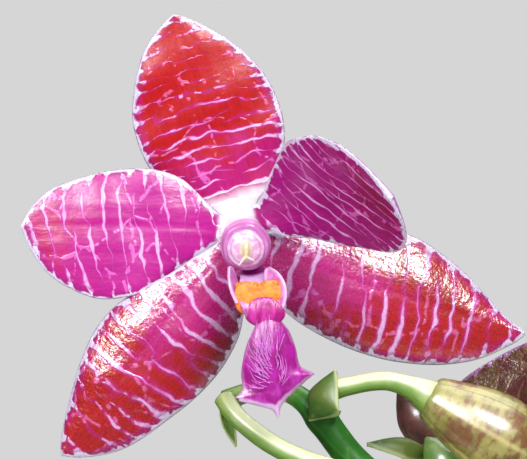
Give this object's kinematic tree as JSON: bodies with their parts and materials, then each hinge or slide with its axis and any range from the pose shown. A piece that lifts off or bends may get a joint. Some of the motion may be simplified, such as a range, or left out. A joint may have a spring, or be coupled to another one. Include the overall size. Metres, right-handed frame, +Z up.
{
  "type": "potted phalaenopsis lueddemanniana",
  "caption": "Potted moth orchid with banded magenta and crimson flowers, strap leaves, thick aerial roots and an arching stalk with buds, in a clay pot of bark.",
  "frame": {"origin": "centre of the pot's foot, on the surface that it stands on", "axes": "+Z up along the pot's axis, +X along the two ranks of leaves, and the open bloom faces -Y"},
  "size_m": [0.3625, 0.1475, 0.3203],
  "materials": {
    "clay": "matte",
    "bark": "matte",
    "stem": "satin",
    "leaf": "satin",
    "root": "matte",
    "stalk": "satin",
    "pedicel": "satin",
    "tepal": "satin",
    "lip": "satin",
    "column": "satin",
    "bud_olive": "satin",
    "bud_brown": "satin",
    "bud_green": "satin"
  },
  "bodies": {
    "root": {"bark_medium": "bark", "bud_brown": "bud_brown", "bud_green": "bud_green", "bud_large": "bud_olive", "bud_low": "bud_olive", "column": "column", "column_second": "column", "dorsal_sepal": "tepal", "dorsal_sepal_second": "tepal", "flower_stalk": "stalk", "lateral_sepal_left": "tepal", "lateral_sepal_left_second": "tepal", "lateral_sepal_right": "tepal", "lateral_sepal_right_second": "tepal", "leaf_1_oldest_left": "leaf", "leaf_2_low_right": "leaf", "leaf_3_left": "leaf", "leaf_4_right": "leaf", "leaf_5_upper_left": "leaf", "leaf_6_youngest": "leaf", "lip": "lip", "lip_second": "lip", "pedicel_brown_bud": "pedicel", "pedicel_green_bud": "pedicel", "pedicel_large_bud": "pedicel", "pedicel_low_bud": "pedicel", "pedicel_main": "pedicel", "pedicel_second": "pedicel", "petal_left": "tepal", "petal_left_second": "tepal", "petal_right": "tepal", "petal_right_second": "tepal", "pot": "clay", "root_back_left": "root", "root_free_tip": "root", "root_front": "root", "root_over_rim_back": "root", "root_over_rim_left": "root", "root_right": "root", "stem": "stem"}
  },
  "joints": []
}
